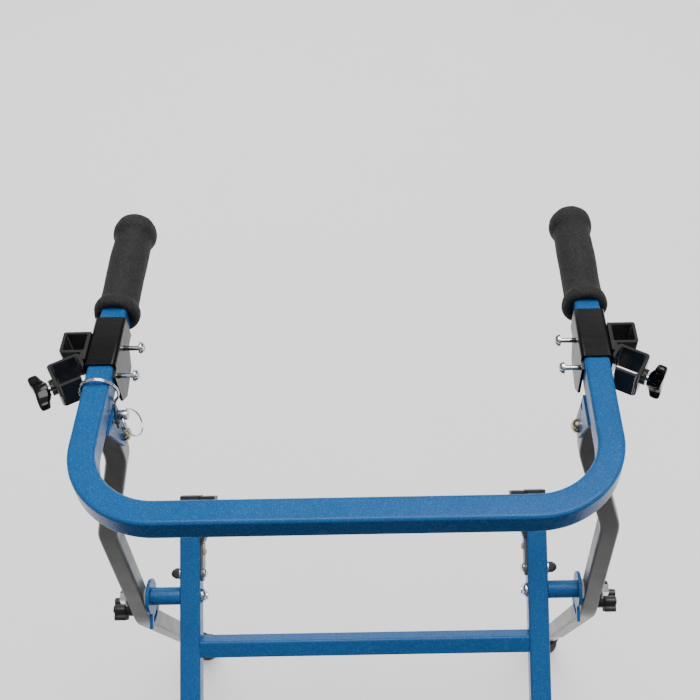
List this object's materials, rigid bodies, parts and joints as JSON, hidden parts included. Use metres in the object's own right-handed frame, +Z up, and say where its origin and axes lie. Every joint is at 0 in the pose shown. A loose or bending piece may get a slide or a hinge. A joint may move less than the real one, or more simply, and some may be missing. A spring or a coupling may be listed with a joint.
{
  "type": "front wheeled walker",
  "caption": "Folding walker: square-tube U handlebar with foam grips and accessory sockets on cranked uprights, hinged to a front frame on swivel wheels.",
  "frame": {"origin": "centre of the footprint box on the floor", "axes": "+Z up, -Y towards the front wheels and crossbar, +Y towards the grips, +X towards the user's right"},
  "size_m": [0.634, 0.48, 0.8908],
  "materials": {
    "blue_paint": "metallic speckle, gloss",
    "grey_paint": "silver grey, satin",
    "foam": "grained closed-cell foam",
    "black_steel": "satin black",
    "black_plastic": "moulded, gloss",
    "matte_black": "moulded, satin",
    "chrome": "bright plated",
    "brassy": "yellow zinc plated",
    "beige": "satin",
    "tube_steel": "drawn tube",
    "rubber": "matt rubber",
    "tyre": "matt solid tyre",
    "grey_plastic": "moulded, satin",
    "white_plastic": "nylon",
    "cable": "coated wire"
  },
  "bodies": {
    "front_frame": {"left_front_leg": "blue_paint", "right_front_leg": "blue_paint", "upper_cross_tube": "blue_paint", "lower_cross_tube": "blue_paint", "leg_end_plugs": "matte_black", "side_receivers": "matte_black", "receiver_rivets": "beige", "side_straps": "grey_paint", "strap_bolts": "chrome", "strap_nuts": "matte_black", "sector_plates": "blue_paint", "fold_pivot_bolts": "chrome", "pivot_spacers": "white_plastic"},
    "uprights": {"left_upright": "grey_paint", "right_upright": "grey_paint", "bar_pivot_bolts": "brassy", "bar_pivot_nuts": "chrome"},
    "handlebar": {"handlebar_tube": "blue_paint", "left_grip": "foam", "right_grip": "foam", "left_sleeve": "black_steel", "right_sleeve": "black_steel", "sleeve_screws": "chrome", "left_socket_block": "black_plastic", "right_socket_block": "black_plastic", "left_pivot_bracket": "blue_paint", "right_pivot_bracket": "blue_paint", "split_ring": "chrome", "pin_tether": "cable"},
    "lock_pin": {"release_pin": "tube_steel"},
    "pull_ring": {"pin_ring": "chrome"},
    "left_wing": {"left_knob_stud": "chrome", "left_wing_knob": "black_plastic"},
    "left_rear_leg_end": {"left_rear_extension": "tube_steel", "left_rear_tip": "rubber"},
    "left_rear_snap": {"left_rear_button": "chrome"},
    "left_fold_clamp": {"left_fold_knob": "matte_black"},
    "left_front_leg_end": {"left_front_extension": "tube_steel"},
    "left_front_snap": {"left_front_button": "chrome"},
    "left_caster": {"left_caster_fork": "black_steel", "left_wheel_axle": "chrome"},
    "left_wheel": {"left_tyre": "tyre", "left_wheel_hub": "grey_plastic"},
    "right_wing": {"right_knob_stud": "chrome", "right_wing_knob": "black_plastic"},
    "right_rear_leg_end": {"right_rear_extension": "tube_steel", "right_rear_tip": "rubber"},
    "right_rear_snap": {"right_rear_button": "chrome"},
    "right_fold_clamp": {"right_fold_knob": "matte_black"},
    "right_front_leg_end": {"right_front_extension": "tube_steel"},
    "right_front_snap": {"right_front_button": "chrome"},
    "right_caster": {"right_caster_fork": "black_steel", "right_wheel_axle": "chrome"},
    "right_wheel": {"right_tyre": "tyre", "right_wheel_hub": "grey_plastic"}
  },
  "joints": [
    {"name": "frame_fold", "type": "hinge", "parent": "front_frame", "child": "uprights", "pos_m": [0, -0.01, 0.473], "axis": [1, 0, 0], "range_deg": [-32, 0]},
    {"name": "handlebar_fold", "type": "hinge", "parent": "uprights", "child": "handlebar", "pos_m": [0, -0.01, 0.81], "axis": [1, 0, 0], "range_deg": [0, 85]},
    {"name": "lock_pin_pull", "type": "slide", "parent": "handlebar", "child": "lock_pin", "axis": [1, 0, 0], "range_m": [0, 0.045]},
    {"name": "pull_ring_swing", "type": "hinge", "parent": "lock_pin", "child": "pull_ring", "pos_m": [-0.2226, -0.01, 0.841], "axis": [0, 1, 0], "range_deg": [-90, 25]},
    {"name": "left_wing_turn", "type": "hinge", "parent": "handlebar", "child": "left_wing", "pos_m": [-0.2716, 0.014, 0.8673], "axis": [-0.866, -0.5, 0], "range_deg": [0, 360]},
    {"name": "left_rear_height", "type": "slide", "parent": "uprights", "child": "left_rear_leg_end", "axis": [0, 0.352, -0.936], "range_m": [0, 0.05]},
    {"name": "left_rear_snap_press", "type": "slide", "parent": "uprights", "child": "left_rear_snap", "axis": [1, 0, 0], "range_m": [0, 0.0025], "stiffness_N_per_m": 800, "springref_m": -0.002},
    {"name": "left_fold_knob_turn", "type": "hinge", "parent": "uprights", "child": "left_fold_clamp", "pos_m": [-0.284, -0.01, 0.441], "axis": [-1, 0, 0], "range_deg": [0, 360]},
    {"name": "left_front_height", "type": "slide", "parent": "front_frame", "child": "left_front_leg_end", "axis": [0, 0, -1], "range_m": [0, 0.05]},
    {"name": "left_front_snap_press", "type": "slide", "parent": "front_frame", "child": "left_front_snap", "axis": [1, 0, 0], "range_m": [0, 0.0025], "stiffness_N_per_m": 800, "springref_m": -0.002},
    {"name": "left_caster_swivel", "type": "hinge", "parent": "left_front_leg_end", "child": "left_caster", "pos_m": [-0.216, -0.21, 0.14], "axis": [0, 0, 1], "continuous": true},
    {"name": "left_wheel_spin", "type": "hinge", "parent": "left_caster", "child": "left_wheel", "pos_m": [-0.216, -0.18, 0.06], "axis": [1, 0, 0], "continuous": true},
    {"name": "right_wing_turn", "type": "hinge", "parent": "handlebar", "child": "right_wing", "pos_m": [0.2716, 0.014, 0.8673], "axis": [0.866, -0.5, 0], "range_deg": [0, 360]},
    {"name": "right_rear_height", "type": "slide", "parent": "uprights", "child": "right_rear_leg_end", "axis": [0, 0.352, -0.936], "range_m": [0, 0.05]},
    {"name": "right_rear_snap_press", "type": "slide", "parent": "uprights", "child": "right_rear_snap", "axis": [-1, 0, 0], "range_m": [0, 0.0025], "stiffness_N_per_m": 800, "springref_m": -0.002},
    {"name": "right_fold_knob_turn", "type": "hinge", "parent": "uprights", "child": "right_fold_clamp", "pos_m": [0.284, -0.01, 0.441], "axis": [1, 0, 0], "range_deg": [0, 360]},
    {"name": "right_front_height", "type": "slide", "parent": "front_frame", "child": "right_front_leg_end", "axis": [0, 0, -1], "range_m": [0, 0.05]},
    {"name": "right_front_snap_press", "type": "slide", "parent": "front_frame", "child": "right_front_snap", "axis": [-1, 0, 0], "range_m": [0, 0.0025], "stiffness_N_per_m": 800, "springref_m": -0.002},
    {"name": "right_caster_swivel", "type": "hinge", "parent": "right_front_leg_end", "child": "right_caster", "pos_m": [0.216, -0.21, 0.14], "axis": [0, 0, 1], "continuous": true},
    {"name": "right_wheel_spin", "type": "hinge", "parent": "right_caster", "child": "right_wheel", "pos_m": [0.216, -0.18, 0.06], "axis": [1, 0, 0], "continuous": true}
  ]
}
